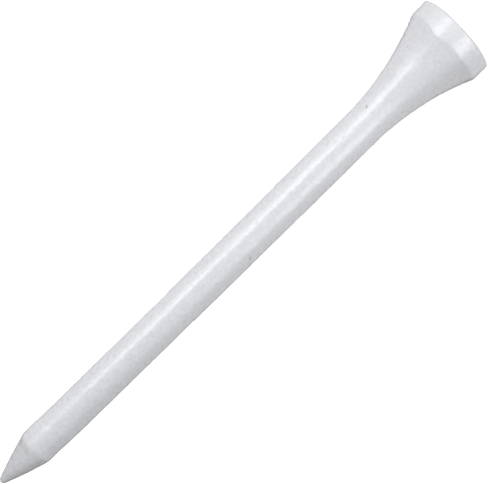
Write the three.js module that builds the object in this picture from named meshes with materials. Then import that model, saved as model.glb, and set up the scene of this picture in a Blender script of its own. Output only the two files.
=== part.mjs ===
// Wooden golf tee, turned from one piece of hardwood and painted white.
// Millimetres, +Z up. The origin is the end of the point, and the axis of the tee is Z.

import * as THREE from 'three';

// Driving dimensions
const TEE_LENGTH = 82.55; // 3 1/4 inches, point to rim
const LATHE_SEGMENTS = 48;

// Point: a round nose, a slightly convex cone, and a softened shoulder where it meets the shank
const NOSE_RADIUS = 0.58;
const CONE_NOSE_ANGLE = THREE.MathUtils.degToRad( 20.4 ); // half angle at the nose
const CONE_SHOULDER_ANGLE = THREE.MathUtils.degToRad( 14.9 ); // half angle at the shoulder
const SHOULDER_RADIUS = 2.2;

// Shank: very slightly thicker at the head end
const SHANK_TIP_RADIUS = 2.52;
const SHANK_HEAD_RADIUS = 2.585;

// Head: a trumpet flare that ends in an upright band around the rim
const FLARE_LENGTH = 14.9;
const BAND_HEIGHT = 2.45;
const BAND_RADIUS = 5.69;
const BAND_FOOT_RADIUS = 5.65;
const BAND_CROWN_HEIGHT = 1.2; // where the band is widest, measured down from the rim
const LIP_RADIUS = 0.26;

// Cup: a shallow spherical bowl inside a narrow flat rim
const CUP_MOUTH_RADIUS = 5.0;
const CUP_DEPTH = 3.0;

// Points along a circular arc from one angle to another, both ends included.
function arcPoints( centreR, centreZ, radius, fromAngle, toAngle, steps ) {

	const points = [];

	for ( let i = 0; i <= steps; i ++ ) {

		const angle = THREE.MathUtils.lerp( fromAngle, toAngle, i / steps );
		points.push( new THREE.Vector2( centreR + radius * Math.cos( angle ), centreZ + radius * Math.sin( angle ) ) );

	}

	return points;

}

// The nose, the cone and the shoulder are three arcs, each tangent to the next, and the last is tangent to the shank.
function pointProfile() {

	const nose = arcPoints( 0, NOSE_RADIUS, NOSE_RADIUS, - Math.PI / 2, - CONE_NOSE_ANGLE, 6 );
	const coneStart = nose[ nose.length - 1 ];

	const coneEndR = SHANK_TIP_RADIUS - SHOULDER_RADIUS * ( 1 - Math.cos( CONE_SHOULDER_ANGLE ) );
	const coneRadius = ( coneEndR - coneStart.x ) / ( Math.cos( CONE_SHOULDER_ANGLE ) - Math.cos( CONE_NOSE_ANGLE ) );
	const coneR = coneStart.x - coneRadius * Math.cos( CONE_NOSE_ANGLE );
	const coneZ = coneStart.y + coneRadius * Math.sin( CONE_NOSE_ANGLE );
	const cone = arcPoints( coneR, coneZ, coneRadius, - CONE_NOSE_ANGLE, - CONE_SHOULDER_ANGLE, 4 );
	const coneEnd = cone[ cone.length - 1 ];

	const shoulderR = SHANK_TIP_RADIUS - SHOULDER_RADIUS;
	const shoulderZ = coneEnd.y + SHOULDER_RADIUS * Math.sin( CONE_SHOULDER_ANGLE );
	const shoulder = arcPoints( shoulderR, shoulderZ, SHOULDER_RADIUS, - CONE_SHOULDER_ANGLE, 0, 4 );

	return [ ...nose, ...cone.slice( 1, - 1 ), ...shoulder ];

}

// The flare is an arc tangent to the shank, and reaches the foot of the rim band.
function flareProfile() {

	const flareEndZ = TEE_LENGTH - BAND_HEIGHT;
	const rise = BAND_FOOT_RADIUS - SHANK_HEAD_RADIUS;
	const flareRadius = ( FLARE_LENGTH ** 2 + rise ** 2 ) / ( 2 * rise );
	const sweep = Math.asin( FLARE_LENGTH / flareRadius );
	const centreR = SHANK_HEAD_RADIUS + flareRadius;

	return arcPoints( centreR, flareEndZ - FLARE_LENGTH, flareRadius, Math.PI, Math.PI - sweep, 12 );

}

// The band bulges a little, and its upper edge is rounded over on to the flat rim.
function bandProfile() {

	const crown = new THREE.Vector2( BAND_RADIUS, TEE_LENGTH - BAND_CROWN_HEIGHT );
	const lip = arcPoints( BAND_RADIUS - LIP_RADIUS, TEE_LENGTH - LIP_RADIUS, LIP_RADIUS, 0, Math.PI / 2, 4 );

	return [ crown, ...lip ];

}

// The bowl is a spherical cap whose edge is the mouth and whose lowest point is on the axis.
function cupProfile() {

	const sphereRadius = ( CUP_MOUTH_RADIUS ** 2 + CUP_DEPTH ** 2 ) / ( 2 * CUP_DEPTH );
	const sphereZ = TEE_LENGTH - CUP_DEPTH + sphereRadius;
	const mouthAngle = - Math.acos( CUP_MOUTH_RADIUS / sphereRadius );

	return arcPoints( 0, sphereZ, sphereRadius, mouthAngle, - Math.PI / 2, 9 );

}

function teeProfile() {

	const profile = [ ...pointProfile(), ...flareProfile(), ...bandProfile(), ...cupProfile() ];

	// Both ends of the outline lie exactly on the axis.
	profile[ 0 ].x = 0;
	profile[ profile.length - 1 ].x = 0;

	return profile;

}

function teeBody() {

	const geometry = new THREE.LatheGeometry( teeProfile(), LATHE_SEGMENTS );
	geometry.rotateX( Math.PI / 2 );

	const whitePaint = new THREE.MeshStandardMaterial( { color: 0xe4e5ea, roughness: 0.38, metalness: 0 } );
	const mesh = new THREE.Mesh( geometry, whitePaint );
	mesh.name = 'tee_body';

	return mesh;

}

const tee = new THREE.Group();
tee.add( teeBody() );

export default tee;
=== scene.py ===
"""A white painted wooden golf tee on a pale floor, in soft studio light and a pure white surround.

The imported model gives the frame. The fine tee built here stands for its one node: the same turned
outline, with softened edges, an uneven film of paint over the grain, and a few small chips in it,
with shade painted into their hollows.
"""

import math
import random

import bpy
from mathutils import Euler, Matrix, Vector, noise
from mathutils.geometry import intersect_point_line


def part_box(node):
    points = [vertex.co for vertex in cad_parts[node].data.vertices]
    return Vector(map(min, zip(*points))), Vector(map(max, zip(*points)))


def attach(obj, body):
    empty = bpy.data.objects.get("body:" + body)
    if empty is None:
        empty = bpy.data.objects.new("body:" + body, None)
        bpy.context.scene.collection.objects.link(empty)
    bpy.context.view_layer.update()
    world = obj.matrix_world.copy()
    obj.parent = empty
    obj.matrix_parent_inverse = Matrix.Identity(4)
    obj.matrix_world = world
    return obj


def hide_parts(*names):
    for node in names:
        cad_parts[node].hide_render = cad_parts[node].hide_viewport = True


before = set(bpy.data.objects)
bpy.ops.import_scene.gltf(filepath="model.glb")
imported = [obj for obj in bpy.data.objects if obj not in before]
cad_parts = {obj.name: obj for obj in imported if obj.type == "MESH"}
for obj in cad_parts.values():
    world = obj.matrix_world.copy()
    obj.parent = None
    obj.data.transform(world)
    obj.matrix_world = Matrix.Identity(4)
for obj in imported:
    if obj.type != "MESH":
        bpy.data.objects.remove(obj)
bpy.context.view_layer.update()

MM = 0.001

# ---------------------------------------------------------------- the tee's outline, in millimetres

box_low, box_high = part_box("tee_body")
LENGTH = (box_high.z - box_low.z) / MM
BAND_RADIUS = (box_high.x - box_low.x) / 2 / MM

NOSE_RADIUS = 0.58
CONE_NOSE_ANGLE = math.radians(20.4)
CONE_SHOULDER_ANGLE = math.radians(14.9)
SHOULDER_RADIUS = 2.2
SHANK_TIP_RADIUS = 2.52
SHANK_HEAD_RADIUS = 2.585
FLARE_LENGTH = 14.9
BAND_HEIGHT = 2.45
BAND_FOOT_RADIUS = 5.65
BAND_FOOT_BLEND = 0.22  # how far the paint rounds the corner below and above the foot
BAND_FOOT_BULGE = 0.01  # how much the radius has grown where that rounding ends
BAND_CROWN_SHARE = 0.5  # of the band's height, where it is widest
LIP_RADIUS = 0.26
CUP_MOUTH_RADIUS = 5.0
CUP_MOUTH_BLEND = 0.12  # how far the paint rounds the edge of the cup, to either side
CUP_DEPTH = 3.0

BOW = 0.17  # how far the middle of the tee leans to +X of a straight line, as turned wood does
OFF_CENTRE = 0.085  # how far the end of the shank is turned off its axis, to -X
OFF_CENTRE_HEIGHT = 7.9
OFF_CENTRE_REACH = 1.9
RIM_SLANT = 0.028  # the head is cut a little out of square: it rises towards -X by this slope
SLANT_REACH = 5.0  # how far below the band the slant begins

COARSE_STEP = 0.17  # between rings, along the outline
FINE_STEP = 0.06
BAND_FOOT_STEPS = 8
CUP_MOUTH_STEPS = 6
SEGMENTS = 160


def arc(centre, radius, start, end, step):
    """Points (r, z) on an arc about centre, from one angle to another, both ends included."""
    count = max(3, math.ceil(abs(end - start) * radius / step))
    angles = [start + (end - start) * i / count for i in range(count + 1)]
    return [(centre[0] + radius * math.cos(a), centre[1] + radius * math.sin(a)) for a in angles]


def line(start, end, step):
    """Points (r, z) on a straight line, without its two ends."""
    count = max(1, math.ceil(math.dist(start, end) / step))
    mix = [i / count for i in range(1, count)]
    return [(start[0] + (end[0] - start[0]) * t, start[1] + (end[1] - start[1]) * t) for t in mix]


def quadratic(start, control, end, t):
    """A point on a quadratic curve."""
    weights = ((1 - t) ** 2, 2 * t * (1 - t), t**2)
    return tuple(sum(w * p[k] for w, p in zip(weights, (start, control, end))) for k in (0, 1))


def joined(stretches, step):
    """One list of points from stretches whose gaps are closed by straight lines."""
    points = list(stretches[0])
    for stretch in stretches[1:]:
        points += line(points[-1], stretch[0], step)
        points += stretch
    return points


def tee_outline():
    """The outline from the end of the point, up the outside and down into the cup."""
    nose = arc((0, NOSE_RADIUS), NOSE_RADIUS, -math.pi / 2, -CONE_NOSE_ANGLE, FINE_STEP)

    # the cone bulges a little: an arc tangent to the nose and to the shoulder
    cone_start_r, cone_start_z = nose[-1]
    cone_end_r = SHANK_TIP_RADIUS - SHOULDER_RADIUS * (1 - math.cos(CONE_SHOULDER_ANGLE))
    narrowing = math.cos(CONE_SHOULDER_ANGLE) - math.cos(CONE_NOSE_ANGLE)
    cone_radius = (cone_end_r - cone_start_r) / narrowing
    cone_r = cone_start_r - cone_radius * math.cos(CONE_NOSE_ANGLE)
    cone_z = cone_start_z + cone_radius * math.sin(CONE_NOSE_ANGLE)
    cone = arc((cone_r, cone_z), cone_radius, -CONE_NOSE_ANGLE, -CONE_SHOULDER_ANGLE, COARSE_STEP)

    # tangent to the cone below it and to the shank above it
    shoulder_z = cone[-1][1] + SHOULDER_RADIUS * math.sin(CONE_SHOULDER_ANGLE)
    shoulder_centre = (SHANK_TIP_RADIUS - SHOULDER_RADIUS, shoulder_z)
    shoulder = arc(shoulder_centre, SHOULDER_RADIUS, -CONE_SHOULDER_ANGLE, 0, FINE_STEP)

    # tangent to the shank, and up to the foot of the band
    rise = BAND_FOOT_RADIUS - SHANK_HEAD_RADIUS
    flare_radius = (FLARE_LENGTH**2 + rise**2) / (2 * rise)
    sweep = math.asin((FLARE_LENGTH - BAND_FOOT_BLEND) / flare_radius)
    foot_z = LENGTH - BAND_HEIGHT
    flare_centre = (SHANK_HEAD_RADIUS + flare_radius, foot_z - FLARE_LENGTH)
    flare = arc(flare_centre, flare_radius, math.pi, math.pi - sweep, COARSE_STEP)

    # the paint rounds the corner between flare and band
    corner = (BAND_FOOT_RADIUS, foot_z)
    band_start = (BAND_FOOT_RADIUS + BAND_FOOT_BULGE, foot_z + BAND_FOOT_BLEND)
    foot_steps = [i / BAND_FOOT_STEPS for i in range(1, BAND_FOOT_STEPS + 1)]
    foot = [quadratic(flare[-1], corner, band_start, t) for t in foot_steps]

    crown = [(BAND_RADIUS, LENGTH - BAND_HEIGHT * BAND_CROWN_SHARE)]
    lip_centre = (BAND_RADIUS - LIP_RADIUS, LENGTH - LIP_RADIUS)
    lip = arc(lip_centre, LIP_RADIUS, 0, math.pi / 2, FINE_STEP)

    # a spherical bowl, whose edge is rounded on to the flat rim
    sphere = (CUP_MOUTH_RADIUS**2 + CUP_DEPTH**2) / (2 * CUP_DEPTH)
    sphere_z = LENGTH - CUP_DEPTH + sphere
    mouth_angle = -math.acos(CUP_MOUTH_RADIUS / sphere) - CUP_MOUTH_BLEND / sphere
    bowl = arc((0, sphere_z), sphere, mouth_angle, -math.pi / 2, COARSE_STEP)
    land_end = (CUP_MOUTH_RADIUS + CUP_MOUTH_BLEND, LENGTH)
    mouth_steps = [i / CUP_MOUTH_STEPS for i in range(CUP_MOUTH_STEPS)]
    mouth = [quadratic(land_end, (CUP_MOUTH_RADIUS, LENGTH), bowl[0], t) for t in mouth_steps]

    point = nose + cone[1:-1] + shoulder
    return joined([point, flare + foot, crown, lip, mouth + bowl], COARSE_STEP)


# ---------------------------------------------------------------- the uneven painted surface

# Azimuths count in degrees from the side that faces the camera, towards +X.

# Where the paint has sagged over the foot of the band: azimuth, width, and how far down
PAINT_SAGS = ((-15, 13, 0.4), (27, 8, 0.15))
SAG_REACH_UP = 0.8  # from the foot of the band
SAG_REACH_DOWN = 4.5

# Chips in the paint: the (height, azimuth) of both ends, the radius, the depth, and how dark the shade
# painted into its hollow is
CHIPS = (
    ((67.8, -32.5), (67.95, -36.0), 0.095, 0.09, 1.0),
    ((70.5, 46.5), (70.6, 49.0), 0.11, 0.07, 0.45),
    ((62.85, -15.5), (63.15, -17.0), 0.12, 0.05, 0.2),
    ((42.95, 78.0), (44.0, 42.0), 0.10, 0.08, 0.7),
    ((47.6, -17.0), (47.9, -20.5), 0.11, 0.06, 0.3),
    ((61.7, -29.0), (62.0, -27.0), 0.12, 0.05, 0.1),
    ((5.95, -58.0), (5.95, -12.0), 0.3, 0.02, 0.2),
)
CHIP_REACH = 1.5  # no chip is felt farther than this above or below its start

# Smaller chips at the sides and back: how many, and the limits of what is drawn at random
SMALL_CHIPS = 30
SMALL_CHIP_SEED = 7
SMALL_CHIP_HEIGHTS = (6, LENGTH - 1)
SMALL_CHIP_AZIMUTHS = (75, 320)
SMALL_CHIP_SIZES = (0.08, 0.13)
SMALL_CHIP_RISE = (0, 0.3)  # from one end of a chip to the other, as is the turn
SMALL_CHIP_TURN = (-4, 4)
# how much shade is painted into each small chip's hollow
SMALL_CHIP_SHADE = (0, 0.4)

# Unevenness of the paint: how large, how high, and where in the noise it is taken
LUMPS = (
    (1.5, 0.019, Vector((0, 0, 0))),
    (0.6, 0.016, Vector((9, 4, 1))),
    (0.3, 0.0085, Vector((2, 7, 6))),
)
GRAIN_WIDTH, GRAIN_LENGTH, GRAIN_HEIGHT = 0.32, 5, 0.0025
GRAIN_PLACE = Vector((3, 8, 5))
RING_SPACING, RING_HEIGHT = 0.35, 0.0012  # left by the turning tool
GIRTH_LENGTH, GIRTH_HEIGHT, GIRTH_PLACE = 9, 0.02, 40  # slow changes of thickness along the tee
SMOOTH_RADIUS = 1.2  # nearer the axis than this, the unevenness fades out


def rim_index(outline):
    """Where the outline reaches the rim: the outside is before it, the cup after it."""
    return max(range(len(outline)), key=lambda i: outline[i][1])


def on_outside(outline, height, degrees):
    """The point of the turned outside at a height and an azimuth."""
    radius = min(outline[:rim_index(outline)], key=lambda p: abs(p[1] - height))[0]
    azimuth = math.radians(degrees)
    return Vector((math.sin(azimuth) * radius, -math.cos(azimuth) * radius, height))


def all_chips(outline):
    """Every chip as (start, end, radius, depth, painted shade), with its ends on the turned surface."""
    chips = []
    for start, end, *look in CHIPS:
        chips.append((on_outside(outline, *start), on_outside(outline, *end), *look))
    draw = random.Random(SMALL_CHIP_SEED)
    for _ in range(SMALL_CHIPS):
        height, degrees = draw.uniform(*SMALL_CHIP_HEIGHTS), draw.uniform(*SMALL_CHIP_AZIMUTHS)
        radius = draw.uniform(*SMALL_CHIP_SIZES)
        start = on_outside(outline, height, degrees)
        rise, turn = draw.uniform(*SMALL_CHIP_RISE), draw.uniform(*SMALL_CHIP_TURN)
        end = on_outside(outline, height + rise, degrees + turn)
        chips.append((start, end, radius, radius / 2, draw.uniform(*SMALL_CHIP_SHADE)))
    return chips


def bell(x):
    """1 at zero, falling smoothly to almost nothing at 2 on either side."""
    return math.exp(-(x**2))


def chipped(point, chips):
    """How deep a chip is at a point of the turned surface, and how much shade is painted there."""
    depth, dark = 0, 0
    for start, end, radius, deepest, chip_shade in chips:
        if abs(point.z - start.z) > CHIP_REACH:
            continue
        nearest, along = intersect_point_line(point, start, end)
        if not 0 < along < 1:
            nearest = start if along <= 0 else end
        bowl = bell((point - nearest).length / radius)
        depth = max(depth, deepest * bowl)
        # painted shade, darkest where the chip is deepest
        dark = max(dark, chip_shade * bowl)
    return depth, dark


def sag(point):
    """How far the paint has run down at a point near the foot of the band."""
    azimuth = math.degrees(math.atan2(point.x, -point.y))
    fall = sum(low * bell((azimuth - middle) / width) for middle, width, low in PAINT_SAGS)
    above = point.z - (LENGTH - BAND_HEIGHT)
    near = max(0, 1 - above / SAG_REACH_UP if above > 0 else 1 + above / SAG_REACH_DOWN)
    return fall * near**2 * (3 - 2 * near)


def relief(point):
    """How far the paint stands out from the turned surface at a point."""
    lumps = sum(noise.noise(point / size + place) * height for size, height, place in LUMPS)
    fibre = Vector((point.x / GRAIN_WIDTH, point.y / GRAIN_WIDTH, point.z / GRAIN_LENGTH))
    grain = noise.noise(fibre + GRAIN_PLACE) * GRAIN_HEIGHT
    rings = noise.noise(Vector((0, 0, point.z / RING_SPACING))) * RING_HEIGHT
    girth = noise.noise(Vector((0, 0, point.z / GIRTH_LENGTH + GIRTH_PLACE))) * GIRTH_HEIGHT
    return lumps + grain + rings + girth


def lean(z):
    """How far the wood's middle lies to +X of the straight axis at a height."""
    bow = BOW * 4 * z * (LENGTH - z) / LENGTH**2
    return bow - OFF_CENTRE * bell((z - OFF_CENTRE_HEIGHT) / OFF_CENTRE_REACH)


def tee_mesh():
    """The painted tee as rings of points around the axis, with a point on the axis at either end."""
    outline = tee_outline()
    chips = all_chips(outline)
    rim = rim_index(outline)
    last = len(outline) - 1
    verts, chip_shade = [], []
    for i, (r, z) in enumerate(outline):
        if i in (0, last):
            verts.append(Vector((lean(z), 0, z)))
            chip_shade.append(0)
            continue
        before, after = outline[i - 1], outline[i + 1]
        out = Vector((after[1] - before[1], before[0] - after[0])).normalized()
        slanted = min(1, max(0, 1 - (LENGTH - z - BAND_HEIGHT) / SLANT_REACH))
        fade = min(1, r / SMOOTH_RADIUS)
        for k in range(SEGMENTS):
            angle = 2 * math.pi * k / SEGMENTS
            around = Vector((math.cos(angle), math.sin(angle), 0))
            point = around * r + Vector((0, 0, z))
            normal = around * out.x + Vector((0, 0, out.y))
            chip, dark = chipped(point, chips)
            skin = point + normal * (relief(point) * fade - chip)
            lift = -RIM_SLANT * point.x * slanted - (sag(point) if i < rim else 0)
            verts.append(skin + Vector((lean(z), 0, lift)))
            chip_shade.append(dark)

    faces = []
    for k in range(SEGMENTS):
        following = (k + 1) % SEGMENTS
        faces.append((0, 1 + following, 1 + k))
        for i in range(last - 2):
            low, high = 1 + i * SEGMENTS, 1 + (i + 1) * SEGMENTS
            faces.append((low + k, low + following, high + following, high + k))
        top = 1 + (last - 2) * SEGMENTS
        faces.append((top + k, top + following, len(verts) - 1))

    mesh = bpy.data.meshes.new("tee_painted")
    mesh.from_pydata([v * MM for v in verts], [], faces)
    # the chip attribute carries the shade painted into each chip's hollow
    mesh.attributes.new("chip", "FLOAT", "POINT").data.foreach_set("value", chip_shade)
    mesh.shade_smooth()
    mesh.validate()
    return mesh


# ---------------------------------------------------------------- materials

# Linear colours
PAINT_DARK = (0.725, 0.732, 0.762, 1)
PAINT_MIDDLE = (0.765, 0.771, 0.802, 1)
PAINT_LIGHT = (0.835, 0.839, 0.873, 1)
PAINTED_CHIP_SHADE = (0.25, 0.24, 0.23, 1)  # painted shade in the hollow of a chip
WHITE = (1, 1, 1, 1)
FLOOR_GREY = (0.85, 0.85, 0.85, 1)
FLOOR_ROUGHNESS = 0.9
FLOOR_GLOW = 0.85  # so that the floor is as white as the surround

# Noise scales count per metre
BLOTCH_SCALE = 1800
GRAIN_SCALE = 3200
GRAIN_STRETCH = (1, 1, 0.06)  # along the fibres
GRAIN_SHARE = 0.35
DARK_STOP, MIDDLE_STOP, LIGHT_STOP = 0.27, 0.5, 0.73
SMOOTHEST, ROUGHEST = 0.2, 0.36  # from the dark blotches to the light ones
PEEL_SCALE = 3200
PEEL_HEIGHT = 0.000017


def node(tree, kind, **values):
    """A shader node with some of its settings or inputs given by name."""
    made = tree.nodes.new(kind)
    for name, value in values.items():
        label = name.replace("_", " ")
        if label in made.inputs:
            made.inputs[label].default_value = value
        else:
            setattr(made, name, value)
    return made


def paint_material():
    """White paint with faint blotches and grain, a satin gloss, and shade painted into the chips."""
    material = bpy.data.materials.new("white_paint")
    material.use_nodes = True
    tree = material.node_tree
    link = tree.links.new
    shader = tree.nodes["Principled BSDF"]

    place = node(tree, "ShaderNodeTexCoord")
    blotches = node(tree, "ShaderNodeTexNoise", Scale=BLOTCH_SCALE, Detail=3, Roughness=0.75)
    link(place.outputs["Object"], blotches.inputs["Vector"])

    stretch = node(tree, "ShaderNodeMapping")
    stretch.inputs["Scale"].default_value = GRAIN_STRETCH
    link(place.outputs["Object"], stretch.inputs["Vector"])
    grain = node(tree, "ShaderNodeTexNoise", Scale=GRAIN_SCALE, Detail=3, Roughness=0.55)
    link(stretch.outputs["Vector"], grain.inputs["Vector"])

    mixed = node(tree, "ShaderNodeMix", data_type="FLOAT")
    mixed.inputs["Factor"].default_value = GRAIN_SHARE
    link(blotches.outputs["Fac"], mixed.inputs["A"])
    link(grain.outputs["Fac"], mixed.inputs["B"])

    colour = node(tree, "ShaderNodeValToRGB")
    dark, light = colour.color_ramp.elements
    dark.position, light.position = DARK_STOP, LIGHT_STOP
    dark.color, light.color = PAINT_DARK, PAINT_LIGHT
    colour.color_ramp.elements.new(MIDDLE_STOP).color = PAINT_MIDDLE
    link(mixed.outputs["Result"], colour.inputs["Fac"])

    # shade painted into the chips' hollows, darkest where they are deepest
    chip = node(tree, "ShaderNodeAttribute", attribute_name="chip")
    chip_shaded = node(tree, "ShaderNodeMix", data_type="RGBA")
    chip_shaded.inputs["B"].default_value = PAINTED_CHIP_SHADE
    link(chip.outputs["Fac"], chip_shaded.inputs["Factor"])
    link(colour.outputs["Color"], chip_shaded.inputs["A"])
    link(chip_shaded.outputs["Result"], shader.inputs["Base Color"])

    gloss = node(tree, "ShaderNodeMapRange", To_Min=SMOOTHEST, To_Max=ROUGHEST)
    link(blotches.outputs["Fac"], gloss.inputs["Value"])
    link(gloss.outputs["Result"], shader.inputs["Roughness"])

    peel = node(tree, "ShaderNodeTexNoise", Scale=PEEL_SCALE, Detail=3, Roughness=0.6)
    link(place.outputs["Object"], peel.inputs["Vector"])
    bump = node(tree, "ShaderNodeBump", Strength=1.0, Distance=PEEL_HEIGHT)
    link(peel.outputs["Fac"], bump.inputs["Height"])
    link(bump.outputs["Normal"], shader.inputs["Normal"])
    return material


def floor_material():
    """A matt white that glows."""
    material = bpy.data.materials.new("pale_floor")
    material.use_nodes = True
    shader = material.node_tree.nodes["Principled BSDF"]
    shader.inputs["Base Color"].default_value = FLOOR_GREY
    shader.inputs["Roughness"].default_value = FLOOR_ROUGHNESS
    shader.inputs["Specular IOR Level"].default_value = 0
    shader.inputs["Emission Color"].default_value = WHITE
    shader.inputs["Emission Strength"].default_value = FLOOR_GLOW
    return material


# ---------------------------------------------------------------- the object

tee = bpy.data.objects.new("tee_painted", tee_mesh())
tee.data.materials.append(paint_material())
bpy.context.collection.objects.link(tee)
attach(tee, "root")
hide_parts("tee_body")

# ---------------------------------------------------------------- floor, lights and camera, in metres

FLOOR_SIZE = 12.0

# Soft rectangles that face the tee: azimuth, height, (width, height) and radiance
LIGHTS = {
    "key": (-36, 0.09, (0.045, 0.28), 8.0),
    "key_glow": (-50, 0.04, (0.14, 0.16), 3.0),
    "fill": (36, 0.125, (0.155, 0.17), 5.15),
    "back": (180, 0.08, (0.10, 0.24), 4.5),
}
LIGHT_DISTANCE = 0.25

OVERHEAD_STRENGTH = 1.0
OVERHEAD_SPREAD = math.radians(25)
OVERHEAD_TILT = math.radians(-35)  # from straight above to behind the tee

# The surround is lit to both sides, a little behind and above. The absolute x of a direction and its
# x, y and z are weighted and added up, and the light rises from none to full between two limits.
SIDES_WEIGHT = (18.3, 0, 0)
BEHIND_WEIGHT = (-0.45, 6.8, 4.8)
BRIGHT_FROM, BRIGHT_FULL = 14.95, 16.34
SURROUND_STRENGTH = 0.86
BACKDROP_STRENGTH = 1.05

CAMERA_AIM_HEIGHT = 0.5419  # as a share of the tee's length
CAMERA_AIM_X = -0.00006
CAMERA_DISTANCE = 0.1585
CAMERA_ELEVATION = math.radians(3.3)
CAMERA_ROLL = math.radians(45.43)
CAMERA_LENS, CAMERA_SENSOR = 90.8, 36  # millimetres
CAMERA_CLIP = (0.01, 50)


def floor():
    """Seen by the camera only: it neither lights nor shades the tee."""
    half = FLOOR_SIZE / 2
    mesh = bpy.data.meshes.new("floor")
    corners = [(-half, -half, 0), (half, -half, 0), (half, half, 0), (-half, half, 0)]
    mesh.from_pydata(corners, [], [(0, 1, 2, 3)])
    mesh.materials.append(floor_material())
    plane = bpy.data.objects.new("floor", mesh)
    bpy.context.collection.objects.link(plane)
    plane.visible_diffuse = False
    plane.visible_glossy = False
    plane.visible_shadow = False


def area_light(name, azimuth, height, size, radiance):
    """A soft rectangle that faces the tee from an azimuth, unseen by the camera."""
    width, tall = size
    lamp = bpy.data.lights.new(name, "AREA")
    lamp.shape = "RECTANGLE"
    lamp.size = width
    lamp.size_y = tall
    lamp.energy = radiance * math.pi * width * tall
    turn = math.radians(azimuth)
    spot = bpy.data.objects.new(name, lamp)
    spot.location = (math.sin(turn) * LIGHT_DISTANCE, -math.cos(turn) * LIGHT_DISTANCE, height)
    spot.rotation_euler = Euler((math.pi / 2, 0, turn))
    spot.visible_camera = False
    bpy.context.collection.objects.link(spot)


def studio_lights():
    """A narrow key and a broad glow on the left, a broad fill on the right, one behind, one above."""
    for name, settings in LIGHTS.items():
        area_light(name, *settings)
    overhead = bpy.data.lights.new("overhead", "SUN")
    overhead.energy = OVERHEAD_STRENGTH
    overhead.angle = OVERHEAD_SPREAD
    sun = bpy.data.objects.new("overhead", overhead)
    sun.rotation_euler = Euler((OVERHEAD_TILT, 0, 0))
    sun.visible_glossy = False
    bpy.context.collection.objects.link(sun)


def surround():
    """Pure white to the camera. What lights the tee comes from both sides, a little behind and above it."""
    world = bpy.data.worlds.new("surround")
    world.use_nodes = True
    bpy.context.scene.world = world
    tree = world.node_tree
    link = tree.links.new
    tree.nodes.clear()
    place = node(tree, "ShaderNodeTexCoord")
    sides = node(tree, "ShaderNodeVectorMath", operation="ABSOLUTE")
    link(place.outputs["Generated"], sides.inputs[0])
    sideways = node(tree, "ShaderNodeVectorMath", operation="DOT_PRODUCT")
    sideways.inputs[1].default_value = SIDES_WEIGHT
    link(sides.outputs["Vector"], sideways.inputs[0])
    behind = node(tree, "ShaderNodeVectorMath", operation="DOT_PRODUCT")
    behind.inputs[1].default_value = BEHIND_WEIGHT
    link(place.outputs["Generated"], behind.inputs[0])
    total = node(tree, "ShaderNodeMath", operation="ADD")
    link(sideways.outputs["Value"], total.inputs[0])
    link(behind.outputs["Value"], total.inputs[1])
    limits = {"From_Min": BRIGHT_FROM, "From_Max": BRIGHT_FULL}
    bright = node(tree, "ShaderNodeMapRange", **limits, To_Min=0, To_Max=SURROUND_STRENGTH)
    link(total.outputs["Value"], bright.inputs["Value"])
    soft = node(tree, "ShaderNodeBackground", Color=WHITE)
    link(bright.outputs["Result"], soft.inputs["Strength"])
    white = node(tree, "ShaderNodeBackground", Color=WHITE, Strength=BACKDROP_STRENGTH)
    path = node(tree, "ShaderNodeLightPath")
    chosen = node(tree, "ShaderNodeMixShader")
    link(path.outputs["Is Camera Ray"], chosen.inputs["Fac"])
    link(soft.outputs["Background"], chosen.inputs[1])
    link(white.outputs["Background"], chosen.inputs[2])
    output = node(tree, "ShaderNodeOutputWorld")
    link(chosen.outputs["Shader"], output.inputs["Surface"])


def camera():
    """Close to the tee, a little above its middle, and rolled so that the tee lies on a diagonal."""
    lens = bpy.data.cameras.new("camera")
    lens.sensor_width = CAMERA_SENSOR
    lens.lens = CAMERA_LENS
    lens.clip_start, lens.clip_end = CAMERA_CLIP
    view = bpy.data.objects.new("camera", lens)
    bpy.context.collection.objects.link(view)
    roll = Matrix.Rotation(CAMERA_ROLL, 4, "Z")
    level = Euler((math.pi / 2 - CAMERA_ELEVATION, 0, 0)).to_matrix().to_4x4()
    back = Vector((0, -math.cos(CAMERA_ELEVATION), math.sin(CAMERA_ELEVATION)))
    aim = Vector((CAMERA_AIM_X, 0, CAMERA_AIM_HEIGHT * LENGTH * MM))
    view.matrix_world = Matrix.Translation(aim + back * CAMERA_DISTANCE) @ level @ roll
    bpy.context.scene.camera = view


floor()
surround()
studio_lights()
camera()
bpy.context.scene.view_settings.view_transform = "Standard"
